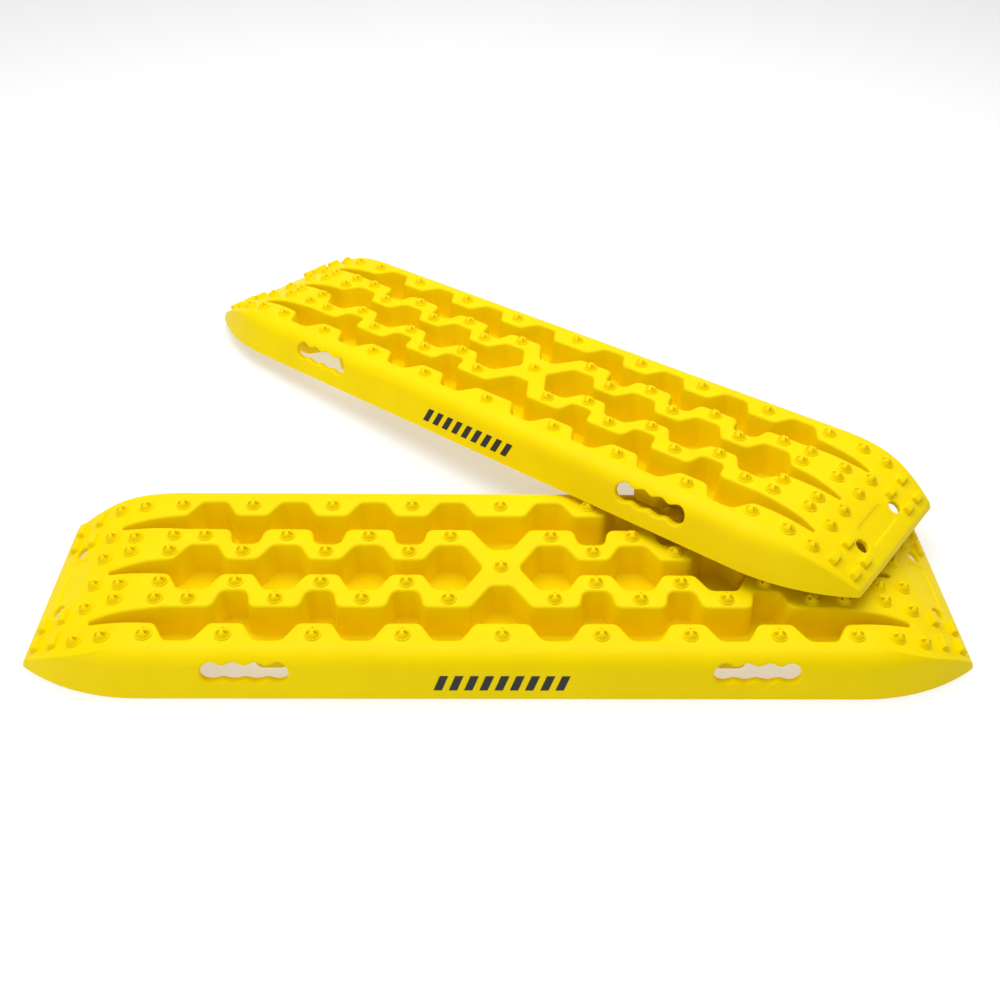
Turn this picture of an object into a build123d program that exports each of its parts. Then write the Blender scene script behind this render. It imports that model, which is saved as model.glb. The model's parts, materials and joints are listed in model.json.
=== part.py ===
"""A pair of moulded traction boards for getting a vehicle out of snow, sand or mud.

Each board is an open-bottomed ribbed shell: a front rail, a rear rail and two meandering ribs that
meet in a cross at the middle, three deep channels between them, a curved ramp at each end, grip
studs and bar cleats on top, hand slots in the long side walls and leash holes in the ramps.
The lower board lies flat. The upper board lies across it, with its rear left corner on the ground.

Every board member is modelled in the board's own frame: X along the board, Y across it, Z up, with
the origin on the ground under the board's middle. All sizes are in millimetres.
"""
import math
import os

from build123d import *

# Board envelope
LENGTH = 1065.0             # end to end
WIDTH = 306.0               # across the foot of the side walls
DECK_HEIGHT = 50.0          # ground to the flat top of rails and ribs
WALL = 4.0                  # moulded wall
WALL_DRAFT = 18.4           # lean of the side walls, degrees from upright
SHOULDER_RADIUS = 25.0      # round between side wall and deck
RAMP_RUN = 137.5            # length of each curved end, where the deck falls and the sides close in
RAMP_END_HEIGHT = 4.9       # thickness of the board's very end
CLOSING_RADIUS = 232.0      # of the closing sides in plan
OVERRUN = 1.0               # how far a cut runs past the face that it opens

HALF_LENGTH = LENGTH / 2
HALF_WIDTH = WIDTH / 2
RAMP_START = HALF_LENGTH - RAMP_RUN
RAMP_DROP = DECK_HEIGHT - RAMP_END_HEIGHT
RAMP_RADIUS = (RAMP_RUN**2 + RAMP_DROP**2) / (2 * RAMP_DROP)
RAMP_CENTRE_HEIGHT = DECK_HEIGHT - RAMP_RADIUS
SHOULDER_TANGENT = SHOULDER_RADIUS * math.tan(math.radians(90 - WALL_DRAFT) / 2)
DECK_INSET = DECK_HEIGHT * math.tan(math.radians(WALL_DRAFT)) + SHOULDER_TANGENT

# Channels across the board, as distances from its middle line. SPREAD stretches the pattern so that
# the bites into the rails stay clear of the shoulders; it is 1 on a board of this width.
NOTCH_CLEARANCE = 2.3       # flat deck left between a bite's wall and the shoulder
PATTERN_HALF_WIDTH = 112.0
RAIL_NOTCH = HALF_WIDTH - DECK_INSET - WALL - NOTCH_CLEARANCE   # where a channel bites into a rail
SPREAD = RAIL_NOTCH / PATTERN_HALF_WIDTH
RAIL_FACE = 87.0 * SPREAD           # where a rail comes furthest in
OUTER_CHANNEL_TIP = 77.0 * SPREAD   # where an outer channel would end with no lean
RIB_OUTER_FACE = 64.0 * SPREAD      # where a rib comes furthest out
RIB_NOTCH = 38.0 * SPREAD           # where an outer channel bites into a rib
RIB_INNER_WIDE = 36.0 * SPREAD      # half width of the middle channel where it is wide
RIB_INNER_NARROW = 11.5 * SPREAD    # half width of the middle channel where it is narrow
CROSS_NECK_FACE = 30.0 * SPREAD     # half width of the cross at its neck

# Channels along the board, as distances from its middle
PITCH = 97.4                # one full meander
FIRST_BULGE = 59.9          # first outward meander
SLOPE = 15.0                # run of each slanted meander wall
RAIL_NOTCH_FLAT = 15.0      # half the length of a bite's straight wall
RIB_NOTCH_FLAT = 15.0
RIB_SLOPE = 6.0             # run of the steeper walls of a bite into a rib
MIDDLE_WIDE_FLAT = 15.7
MIDDLE_NARROW_FLAT = 18.0
CROSS_NECK = 12.0           # half the length of the cross's straight side
CROSS_ARM = 35.0            # where the cross's arm has opened out to the rib's outer face
CROSS_TIP = 21.0            # where the middle channel starts
CROSS_LENGTH = 62.0         # half the length of the cross member
CHANNEL_END = HALF_LENGTH - 60.5    # where all three channels run out on the ramps
TIP_LEAN = 5.5              # how far each channel's tip leans towards the front
CORNER_RADIUS = 10.0
TIP_RADIUS = 3.0
FLOOR_UNDERSIDE = 2.0
FLOOR_THICKNESS = 4.0
BULGES = math.floor((RAMP_START - FIRST_BULGE - RAIL_NOTCH_FLAT - SLOPE) / PITCH) + 1
LAST_BULGE = FIRST_BULGE + (BULGES - 1) * PITCH

# How a channel narrows from its last bulge to its end, as shares of that run
RUNOUT_RADIUS = 32.0
RAIL_RUNOUT_BEND = 0.75
RIB_RUNOUT_START = 0.2
RIB_RUNOUT_BEND = 0.7
RIB_RUNOUT_RISE = 0.45      # share of the rib's swing outwards that it has made at its bend
MIDDLE_RUNOUT_BEND = 0.35
MIDDLE_RUNOUT_CLOSING = 1.5 # what the middle channel's half width has lost at its bend

# Grip studs
STUD_RADIUS = 9.5
STUD_RING = 1.6             # height of the round foot
STUD_HEIGHT = 8.0
STUD_DOME_RADIUS = 7.6
STUD_TOP_RADIUS = 2.4
STUD_BULGE = 1.1            # how far the dome swells out and up from a straight cone
POCKET_DEPTH = 4.6
POCKET_POINT = 1.8          # a pocket's point, from the stud's axis
POCKET_HALF_BASE = 3.4
POCKET_RIM = 1.0            # dome left outside a pocket
POCKET_TURNS = (90, 210, 330)
RAIL_STUD_ROW = 105.0 * SPREAD
RIB_INNER_STUD_ROW = 25.0 * SPREAD
RIB_OUTER_STUD_ROW = 51.0 * SPREAD
LAST_STUD = RAMP_START - 6.0
RAMP_STUD_ROWS = (
    (HALF_LENGTH - 97.8, (105.0 * SPREAD, 50.0 * SPREAD, 26.7 * SPREAD)),
    (HALF_LENGTH - 66.8, (105.6 * SPREAD, 57.4 * SPREAD, 21.3 * SPREAD)),
)

# Bar cleats on the ramps
CLEAT_LENGTH = 10.0
CLEAT_WIDTH = 20.0
CLEAT_HEIGHT = 6.0
CLEAT_CHAMFER = 1.5
FIRST_CLEAT = 62.0 * SPREAD
CLEAT_ROWS = (
    (HALF_LENGTH - 40.9, (FIRST_CLEAT, 98.0 * SPREAD)),
    (HALF_LENGTH - 16.5, (64.5 * SPREAD, 92.0 * SPREAD)),
)

# Hand slots
SLOT_CENTRE = RAMP_START - 118.0
SLOT_LOBES = 4
SLOT_LOBE_PITCH = 24.0
SLOT_LOBE_RADIUS = 11.5
SLOT_WAIST = 17.0           # slot height between two finger lobes
SLOT_MIDDLE_HEIGHT = DECK_HEIGHT - 21.0
COLLAR_WALL = 2.5
COLLAR_REACH = HALF_WIDTH - 15.0    # the collar ends this far from the board's middle line
SLOT_REACH = HALF_WIDTH - 28.0      # the slot's cut runs in as far as this, clear of the wall
HANDLE_START = SLOT_CENTRE - 60.0   # where a rail is divided into its middle and its handle

# Leash holes and the recess between them
LEASH_RADIUS = 8.5
LEASH_ALONG = HALF_LENGTH - 27.5
LEASH_ACROSS = FIRST_CLEAT - 14.5
LEASH_DEPTH = 6.0
LEASH_BOSS_WALL = 3.5
RECESS_MIDDLE = HALF_LENGTH - 31.5
RECESS_LENGTH = 28.0
RECESS_HALF_WIDTH = LEASH_ACROSS - 14.5
RECESS_DEPTH = 1.75

# Printed mark on the front wall
MARK_BARS = 9
MARK_PITCH = 16.5
MARK_BAR = 9.0
MARK_LEAN = 7.0
MARK_THICKNESS = 0.3
MARK_FOOT = 11.0            # up the wall, from the ground to the mark
MARK_HEIGHT = DECK_HEIGHT / math.cos(math.radians(WALL_DRAFT)) - SHOULDER_TANGENT - MARK_FOOT - 5.7

# How the upper board lies across the lower one
UPPER_TURN = -38.8          # degrees about the upright
UPPER_ALONG = 48.6          # its middle, along the lower board
REST_BACK = 241.0           # its middle is this far behind the stud row that carries it
REST_GAP = 0.5


def plan_outline(inset, height):
    """The board's outline seen from above, moved inwards by inset and lifted to height."""
    side = HALF_WIDTH - inset
    radius = CLOSING_RADIUS - inset
    centre = HALF_WIDTH - CLOSING_RADIUS
    tip = centre + math.sqrt(radius**2 - RAMP_RUN**2)
    bend = math.asin(RAMP_RUN / radius) / 2
    middle = (RAMP_START + radius * math.sin(bend), centre + radius * math.cos(bend))
    edges = []
    for sx, sy in ((1, 1), (-1, -1)):
        edges.append(Line((-sx * RAMP_START, sy * side), (sx * RAMP_START, sy * side)))
        edges.append(ThreePointArc((sx * RAMP_START, sy * side), (sx * middle[0], sy * middle[1]),
                                   (sx * HALF_LENGTH, sy * tip)))
        edges.append(Line((sx * HALF_LENGTH, sy * tip), (sx * HALF_LENGTH, -sy * tip)))
        edges.append(ThreePointArc((sx * HALF_LENGTH, -sy * tip), (sx * middle[0], -sy * middle[1]),
                                   (sx * RAMP_START, -sy * side)))
    return Pos(0, 0, height) * make_face(Wire(edges))


def side_profile(thinner):
    """The board's long profile as a slab across the whole width, thinned from the top and ends."""
    radius = RAMP_RADIUS - thinner
    end = HALF_LENGTH - thinner
    end_height = RAMP_CENTRE_HEIGHT + math.sqrt(radius**2 - (end - RAMP_START)**2)
    bend = math.asin((end - RAMP_START) / radius) / 2
    middle = (RAMP_START + radius * math.sin(bend), RAMP_CENTRE_HEIGHT + radius * math.cos(bend))
    top = DECK_HEIGHT - thinner
    below = -WALL if thinner else 0.0
    edges = [
        Line((-end, below), (end, below)),
        Line((end, below), (end, end_height)),
        ThreePointArc((end, end_height), middle, (RAMP_START, top)),
        Line((RAMP_START, top), (-RAMP_START, top)),
        ThreePointArc((-RAMP_START, top), (-middle[0], middle[1]), (-end, end_height)),
        Line((-end, end_height), (-end, below)),
    ]
    return extrude(Plane.XZ * make_face(Wire(edges)), amount=HALF_WIDTH, both=True)


def board_form(thinner):
    """The solid form of the board's outside, or of its inside when thinner is the wall."""
    lean = math.tan(math.radians(WALL_DRAFT))
    level = thinner / math.cos(math.radians(WALL_DRAFT))
    top = DECK_HEIGHT - thinner
    below = -WALL if thinner else 0.0
    form = loft([plan_outline(level + below * lean, below), plan_outline(level + top * lean, top)],
                ruled=True)
    rim = [edge for edge in form.edges().group_by(Axis.Z)[-1]
           if abs(edge.center().X) < HALF_LENGTH - WALL / 2]
    form = fillet(rim, SHOULDER_RADIUS - thinner)
    return form & side_profile(thinner)


def rounded_face(corners):
    """A flat face from corner points with a radius at each: (x, y, radius)."""
    points = [(x, y) for x, y, _ in corners]
    radii = [radius for _, _, radius in corners]
    return make_face(FilletPolyline(points, radius=radii, close=True))


def outer_channel(tip):
    """Plan of a channel between a rail and a rib, with its two tips at this distance across."""
    rail_side = []
    rib_side = [(CROSS_NECK, CROSS_NECK_FACE, CORNER_RADIUS), (CROSS_ARM, RIB_OUTER_FACE, CORNER_RADIUS)]
    for step in range(BULGES):
        middle = FIRST_BULGE + step * PITCH
        rail_side += [
            (middle - RAIL_NOTCH_FLAT - SLOPE, RAIL_FACE, CORNER_RADIUS),
            (middle - RAIL_NOTCH_FLAT, RAIL_NOTCH, CORNER_RADIUS),
            (middle + RAIL_NOTCH_FLAT, RAIL_NOTCH, CORNER_RADIUS),
            (middle + RAIL_NOTCH_FLAT + SLOPE, RAIL_FACE, CORNER_RADIUS),
        ]
    for step in range(BULGES - 1):
        middle = FIRST_BULGE + (step + 0.5) * PITCH
        rib_side += [
            (middle - RIB_NOTCH_FLAT - RIB_SLOPE, RIB_OUTER_FACE, CORNER_RADIUS),
            (middle - RIB_NOTCH_FLAT, RIB_NOTCH, CORNER_RADIUS),
            (middle + RIB_NOTCH_FLAT, RIB_NOTCH, CORNER_RADIUS),
            (middle + RIB_NOTCH_FLAT + RIB_SLOPE, RIB_OUTER_FACE, CORNER_RADIUS),
        ]
    run = CHANNEL_END - LAST_BULGE
    swing = tip - RIB_OUTER_FACE
    rail_side += [
        (LAST_BULGE + RAIL_RUNOUT_BEND * run, (RAIL_FACE + tip) / 2, RUNOUT_RADIUS),
        (CHANNEL_END, tip, TIP_RADIUS),
    ]
    rib_side += [
        (LAST_BULGE + RIB_RUNOUT_START * run, RIB_OUTER_FACE, RUNOUT_RADIUS),
        (LAST_BULGE + RIB_RUNOUT_BEND * run, RIB_OUTER_FACE + RIB_RUNOUT_RISE * swing, RUNOUT_RADIUS),
    ]
    right = rail_side + rib_side[::-1]
    left = [(-x, y, radius) for x, y, radius in reversed(right)]
    return rounded_face(right + left)


def middle_channel():
    """Plan of the right half of the middle channel, between the two ribs."""
    upper = []
    for step in range(BULGES):
        middle = FIRST_BULGE + step * PITCH
        upper += [
            (middle - MIDDLE_WIDE_FLAT, RIB_INNER_WIDE, CORNER_RADIUS),
            (middle + MIDDLE_WIDE_FLAT, RIB_INNER_WIDE, CORNER_RADIUS),
        ]
        if step < BULGES - 1:
            middle += PITCH / 2
            upper += [
                (middle - MIDDLE_NARROW_FLAT, RIB_INNER_NARROW, CORNER_RADIUS),
                (middle + MIDDLE_NARROW_FLAT, RIB_INNER_NARROW, CORNER_RADIUS),
            ]
    end = LAST_BULGE + MIDDLE_WIDE_FLAT + SLOPE
    bend = end + MIDDLE_RUNOUT_BEND * (CHANNEL_END - end)
    half_width = RIB_INNER_NARROW - MIDDLE_RUNOUT_CLOSING
    upper.append((end, RIB_INNER_NARROW, CORNER_RADIUS))
    lower = [(x, -y, radius) for x, y, radius in reversed(upper)]
    runout = [
        (bend, half_width - MIDDLE_RUNOUT_BEND * TIP_LEAN, RUNOUT_RADIUS),
        (CHANNEL_END, -TIP_LEAN, TIP_RADIUS),
        (bend, -half_width, RUNOUT_RADIUS),
    ]
    return rounded_face([(CROSS_TIP, 0, CORNER_RADIUS)] + upper + runout + lower)


def ramp_height(along):
    """Height of the deck or ramp surface at a distance from the board's middle."""
    past = abs(along) - RAMP_START
    if past <= 0:
        return DECK_HEIGHT
    return RAMP_CENTRE_HEIGHT + math.sqrt(RAMP_RADIUS**2 - past**2)


def on_top(along, across):
    """Place on the deck or ramp surface, with Z square to the surface."""
    past = max(abs(along) - RAMP_START, 0.0)
    lean = math.degrees(math.asin(past / RAMP_RADIUS)) * (1 if along > 0 else -1)
    return Pos(along, across, ramp_height(along)) * Rot(Y=lean)


def slot_outline(grow):
    """A row of finger lobes joined by narrower waists, in the XZ plane."""
    run = (SLOT_LOBES - 1) * SLOT_LOBE_PITCH
    shape = Rectangle(run, SLOT_WAIST + 2 * grow)
    for step in range(SLOT_LOBES):
        shape += Pos(step * SLOT_LOBE_PITCH - run / 2, 0) * Circle(SLOT_LOBE_RADIUS + grow)
    return Plane.XZ * shape


def hand_slots(grow, near, far):
    """Four prisms through the side walls, between two distances from the board's middle line."""
    prism = extrude(slot_outline(grow), amount=far - near)
    return [Pos(sx * SLOT_CENTRE, y, SLOT_MIDDLE_HEIGHT) * prism for sx in (-1, 1) for y in (-near, far)]


def leash_cylinders(radius, above, below):
    """Four cylinders square to the ramps at the leash holes."""
    cylinder = Pos(0, 0, (above - below) / 2) * Cylinder(radius, above + below)
    return [on_top(sx * LEASH_ALONG, sy * LEASH_ACROSS) * cylinder for sx in (-1, 1) for sy in (-1, 1)]


def moulding():
    """The board's shell with its channels, and the channels' prisms that divide it."""
    outside = board_form(0)
    inside = board_form(WALL)
    rear = outer_channel(OUTER_CHANNEL_TIP - TIP_LEAN)
    front = mirror(outer_channel(OUTER_CHANNEL_TIP + TIP_LEAN), Plane.XZ)
    right = middle_channel()
    plans = [rear, front, right, mirror(right, Plane.YZ)]
    channel_walls = []
    for plan in plans:
        prism = extrude(offset(plan, amount=WALL, kind=Kind.ARC), amount=DECK_HEIGHT - FLOOR_UNDERSIDE)
        channel_walls.append(Pos(0, 0, FLOOR_UNDERSIDE) * prism & outside)
    boss_radius = LEASH_RADIUS + LEASH_BOSS_WALL
    collars = [collar & outside for collar in hand_slots(COLLAR_WALL, COLLAR_REACH, HALF_WIDTH)]
    bosses = [boss & outside for boss in leash_cylinders(boss_radius, OVERRUN, LEASH_DEPTH)]
    shell = outside - inside
    shell = shell + channel_walls + collars + bosses
    shell = shell - hand_slots(0, SLOT_REACH, HALF_WIDTH + OVERRUN)
    shell = shell - leash_cylinders(LEASH_RADIUS, OVERRUN, LEASH_DEPTH + OVERRUN)
    lower_ramp = side_profile(RECESS_DEPTH)
    for side in (-1, 1):
        recess = Pos(side * RECESS_MIDDLE, 0, DECK_HEIGHT / 2) * Box(
            RECESS_LENGTH, 2 * RECESS_HALF_WIDTH, DECK_HEIGHT)
        shell = shell - (recess - lower_ramp)
    prisms = [extrude(plan, amount=DECK_HEIGHT) for plan in plans]
    floors = [shell & Pos(0, 0, FLOOR_UNDERSIDE) * extrude(plan, amount=FLOOR_THICKNESS) for plan in plans]
    walls = shell - prisms
    return outside, walls, floors


def stretch(near, far):
    """A block over the board's whole width and height, between two places along the board."""
    return Pos((near + far) / 2, 0, DECK_HEIGHT / 2) * Box(far - near, WIDTH, DECK_HEIGHT)


def members():
    """Divide the moulding into its members: rails, handles, ribs, cross, channel floors and ramps."""
    outside, walls, floors = moulding()
    block = Pos(0, 0, DECK_HEIGHT / 2) * Box(2 * CROSS_LENGTH, 2 * RAIL_FACE, DECK_HEIGHT)
    cross = walls & block
    centre_cross = [solid for solid in cross.solids() if abs(solid.center().Y) < RIB_NOTCH][0]
    named = {"centre_cross": centre_cross}
    straight = walls & stretch(-RAMP_START, RAMP_START)
    for solid in (straight - centre_cross).solids():
        centre = solid.center()
        side = "rear" if centre.Y > 0 else "front"
        if abs(centre.Y) > RAIL_FACE:
            named[side + "_rail_left"] = solid & stretch(-HANDLE_START, 0)
            named[side + "_rail_right"] = solid & stretch(0, HANDLE_START)
            named[side + "_handle_left"] = solid & stretch(-RAMP_START, -HANDLE_START)
            named[side + "_handle_right"] = solid & stretch(HANDLE_START, RAMP_START)
        else:
            named[f"{side}_rib_{'right' if centre.X > 0 else 'left'}"] = solid
    named["ramp_left"] = walls & stretch(-HALF_LENGTH, -RAMP_START)
    named["ramp_right"] = walls & stretch(RAMP_START, HALF_LENGTH)
    named["rear_channel_floor"] = floors[0]
    named["front_channel_floor"] = floors[1]
    named["middle_channel_floors"] = Compound(floors[2].solids() + floors[3].solids())
    return outside, named


def stud():
    """One grip stud on its round foot, with three pockets, and a root that reaches below the deck."""
    half_out = (STUD_DOME_RADIUS + STUD_TOP_RADIUS) / 2
    half_up = (STUD_RING + STUD_HEIGHT) / 2
    swell = (half_out + STUD_BULGE, half_up + STUD_BULGE)
    outline = make_face(Wire([
        Line((0, -WALL), (STUD_RADIUS, -WALL)),
        Line((STUD_RADIUS, -WALL), (STUD_RADIUS, STUD_RING)),
        Line((STUD_RADIUS, STUD_RING), (STUD_DOME_RADIUS, STUD_RING)),
        ThreePointArc((STUD_DOME_RADIUS, STUD_RING), swell, (STUD_TOP_RADIUS, STUD_HEIGHT)),
        Line((STUD_TOP_RADIUS, STUD_HEIGHT), (0, STUD_HEIGHT)),
        Line((0, STUD_HEIGHT), (0, -WALL)),
    ]))
    body = revolve(Plane.XZ * outline, Axis.Z)
    reach = STUD_DOME_RADIUS - POCKET_RIM
    corners = [(POCKET_POINT, 0), (reach, -POCKET_HALF_BASE), (reach, POCKET_HALF_BASE)]
    wedge = make_face(Polyline(*corners, close=True))
    pocket = Pos(0, 0, STUD_HEIGHT - POCKET_DEPTH) * extrude(wedge, amount=POCKET_DEPTH + OVERRUN)
    return body - [Rot(Z=turn) * pocket for turn in POCKET_TURNS]


def stud_places():
    """Every stud's place on the board, grouped under the name of its row."""
    inner_columns = [FIRST_BULGE + (step + 0.5) * PITCH for step in range(BULGES - 1)] + [LAST_STUD]
    outer_columns = [FIRST_BULGE + step * PITCH for step in range(BULGES)] + [LAST_STUD]
    groups = {}
    for sy, side in ((-1, "front"), (1, "rear")):
        rail = [(0.0, sy * RAIL_STUD_ROW)]
        rib = []
        for sx in (-1, 1):
            rail += [(sx * along, sy * RAIL_STUD_ROW) for along in inner_columns]
            rib += [(sx * along, sy * RIB_INNER_STUD_ROW) for along in inner_columns]
            rib += [(sx * along, sy * RIB_OUTER_STUD_ROW) for along in outer_columns]
        groups[side + "_rail_studs"] = rail
        groups[side + "_rib_studs"] = rib
    groups["centre_stud"] = [(0.0, 0.0)]
    for sx, side in ((-1, "left"), (1, "right")):
        rows = []
        for along, places in RAMP_STUD_ROWS:
            rows += [(sx * along, sy * across) for sy in (-1, 1) for across in places]
        groups["ramp_studs_" + side] = rows
    return groups


def grip(outside):
    """Studs and bar cleats, cut to sit on the outside of the board."""
    named = {}
    rooted = stud()
    level = rooted - Pos(0, 0, -WALL) * Box(3 * STUD_RADIUS, 3 * STUD_RADIUS, 2 * WALL)
    for name, places in stud_places().items():
        solids = []
        for along, across in places:
            if abs(along) <= RAMP_START:
                solids.append(Pos(along, across, DECK_HEIGHT) * level)
            else:
                solids.append((on_top(along, across) * rooted - outside).solids().sort_by(Axis.Z)[-1])
        named[name] = Compound(solids)
    block = Pos(0, 0, (CLEAT_HEIGHT - WALL) / 2) * Box(CLEAT_LENGTH, CLEAT_WIDTH, CLEAT_HEIGHT + WALL)
    block = chamfer(block.faces().sort_by(Axis.Z)[-1].edges(), CLEAT_CHAMFER)
    for sx, side in ((-1, "left"), (1, "right")):
        solids = []
        for along, places in CLEAT_ROWS:
            for across in places:
                for sy in (-1, 1):
                    cleat = on_top(sx * along, sy * across) * block - outside
                    solids.append(cleat.solids().sort_by(Axis.Z)[-1])
        named["ramp_cleats_" + side] = Compound(solids)
    return named


def print_mark():
    """A row of leaning bars printed on the front wall, as a thin raised layer."""
    bar = make_face(Polyline(
        (-MARK_BAR / 2 - MARK_LEAN / 2, -MARK_HEIGHT / 2), (MARK_BAR / 2 - MARK_LEAN / 2, -MARK_HEIGHT / 2),
        (MARK_BAR / 2 + MARK_LEAN / 2, MARK_HEIGHT / 2), (-MARK_BAR / 2 + MARK_LEAN / 2, MARK_HEIGHT / 2),
        close=True))
    first = -(MARK_BARS - 1) * MARK_PITCH / 2
    layer = [extrude(Pos(first + step * MARK_PITCH, MARK_FOOT + MARK_HEIGHT / 2) * bar, amount=MARK_THICKNESS)
             for step in range(MARK_BARS)]
    wall = Pos(0, -HALF_WIDTH, 0) * Rot(X=90 - WALL_DRAFT)
    return {"print_mark": Compound([wall * solid for solid in layer])}


def upper_place(board):
    """Where the upper board lies: on the lower board's rear stud row and on its own rear left corner."""
    turned = Rot(Z=UPPER_TURN) * board
    reach = turned.bounding_box().max.Y
    lean = math.asin((DECK_HEIGHT + STUD_HEIGHT + REST_GAP) / (reach + REST_BACK))
    across = RAIL_STUD_ROW + REST_BACK * math.cos(lean)
    return Pos(UPPER_ALONG, across, reach * math.sin(lean)) * Rot(X=-math.degrees(lean)) * Rot(Z=UPPER_TURN)


def main():
    outside, board = members()
    board.update(grip(outside))
    board.update(print_mark())
    place = upper_place(Compound([board["rear_handle_left"], board["ramp_left"]]))
    pair = {}
    for name, shape in board.items():
        pair["lower_" + name] = shape
        pair["upper_" + name] = place * shape
    box = Compound(list(pair.values())).bounding_box()
    origin = Pos(-box.center().X, -box.center().Y, -box.min.Z)
    os.makedirs("parts", exist_ok=True)
    for name, shape in pair.items():
        export_step(origin * shape, f"parts/{name}.step")
    position = (origin * place).position
    print("size", box.size)
    print("lower board's middle", origin.position)
    print("upper board's middle", position, "turns", (origin * place).orientation)


main()
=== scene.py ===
# %% [markdown]
# # A pair of moulded traction boards
# Two identical boards of bright yellow plastic, for driving out of snow, sand or mud. Each one is a
# single injection moulding: an open-bottomed shell about 4 mm thick, folded into rails, ribs and deep
# channels so that a car can stand on it. This lesson builds the moulding as one continuous skin, with
# the rounded edges and the draft that a steel mould leaves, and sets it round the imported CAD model.

# %% Load the frame
import json
import math

import bmesh
import bpy
import numpy as np
from mathutils import Matrix, Vector
from mathutils.geometry import delaunay_2d_cdt


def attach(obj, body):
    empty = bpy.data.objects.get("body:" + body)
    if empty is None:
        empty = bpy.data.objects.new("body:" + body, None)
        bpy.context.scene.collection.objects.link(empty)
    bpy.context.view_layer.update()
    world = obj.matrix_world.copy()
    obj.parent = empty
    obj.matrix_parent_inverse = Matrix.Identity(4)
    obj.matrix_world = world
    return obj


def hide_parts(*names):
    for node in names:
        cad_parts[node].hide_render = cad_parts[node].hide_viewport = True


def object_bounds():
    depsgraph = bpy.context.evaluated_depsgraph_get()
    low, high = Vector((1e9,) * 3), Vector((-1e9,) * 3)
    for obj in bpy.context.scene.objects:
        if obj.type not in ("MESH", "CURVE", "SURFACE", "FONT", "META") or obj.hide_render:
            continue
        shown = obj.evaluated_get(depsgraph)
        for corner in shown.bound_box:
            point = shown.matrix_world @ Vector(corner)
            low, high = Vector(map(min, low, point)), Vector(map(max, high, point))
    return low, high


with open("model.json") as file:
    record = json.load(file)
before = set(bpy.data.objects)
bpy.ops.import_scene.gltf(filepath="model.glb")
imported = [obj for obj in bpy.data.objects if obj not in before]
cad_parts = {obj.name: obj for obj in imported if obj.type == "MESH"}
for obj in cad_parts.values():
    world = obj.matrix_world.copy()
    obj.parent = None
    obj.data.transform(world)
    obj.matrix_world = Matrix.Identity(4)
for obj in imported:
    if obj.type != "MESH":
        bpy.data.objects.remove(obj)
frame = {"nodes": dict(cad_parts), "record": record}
cad_box = [list(corner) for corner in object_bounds()]
MM = 0.001
print("CAD box", cad_box)

# %% [markdown]
# ## Camera
# The boards are seen from in front and above, from about 1.5 m away, through a normal lens.
# The camera comes first, so that every later piece can be judged from where it will be seen.

# %% Camera
camera = bpy.data.objects.new("camera", bpy.data.cameras.new("camera"))
bpy.context.scene.collection.objects.link(camera)
camera.location = (-0.0219, -1.1888, 0.9375)
camera.rotation_euler = [math.radians(angle) for angle in (48.457, -0.814, -0.522)]
camera.data.lens = 38.71
camera.data.sensor_width = 36.0
bpy.context.scene.camera = camera
print("camera at", tuple(camera.location))

# %% [markdown]
# ## Where each board lies
# Each board has four leash holes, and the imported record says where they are. Their middle and their
# two directions fix the board's own frame, so the skin can be drawn flat and square, in millimetres,
# and then laid where the CAD board lies.

# %% Board places
LEASH_ALONG = 505.0
LEASH_ACROSS = 47.52
LEASH_DEPTH = 6.0
DECK = 50.0
HALF_LENGTH = 532.5
RAMP_START = 395.0
RAMP_DROP = 45.1
RAMP_RADIUS = ((HALF_LENGTH - RAMP_START)**2 + RAMP_DROP**2) / (2 * RAMP_DROP)
LEASH_LEAN = math.asin((LEASH_ALONG - RAMP_START) / RAMP_RADIUS)


def ramp_drop(along, radius=RAMP_RADIUS):
    """How far the ramp has fallen below the deck, at a distance from the board's middle."""
    past = np.maximum(np.abs(along) - RAMP_START, 0.0)
    return RAMP_RADIUS - np.sqrt(np.maximum(radius**2 - past**2, 0.0))


def board_place(board):
    """The matrix that takes a board's own millimetres to metres in the shared frame."""
    hole = {mount["name"]: Vector(mount["pos_m"]) for mount in frame["record"]["mounts"]}
    corners = [hole[f"{board}_leash_hole_{side}"]
               for side in ("front_left", "front_right", "rear_left", "rear_right")]
    x = (corners[1] - corners[0]).normalized()
    z = x.cross(corners[2] - corners[0]).normalized()
    y = z.cross(x)
    hole_height = DECK - float(ramp_drop(LEASH_ALONG)) - LEASH_DEPTH / 2 * math.cos(LEASH_LEAN)
    origin = sum(corners, Vector()) / 4 - z * hole_height * MM
    turn = Matrix((x, y, z)).transposed().to_4x4()
    return Matrix.Translation(origin) @ turn @ Matrix.Scale(MM, 4)


PLACES = {board: board_place(board) for board in ("lower", "upper")}
for board, place in PLACES.items():
    print(board, "board stands at", [round(value, 4) for value in place.translation])

# %% [markdown]
# ## Rounded loops
# The channels are closed loops of straights and arcs. Every offset of such a loop, up the wall or out
# on to the deck, keeps the same number of points when each point slides along its own normal. Rows of
# offsets then join into clean quads, as a surface modeller would loft them.

# %% Rounded loops


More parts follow.
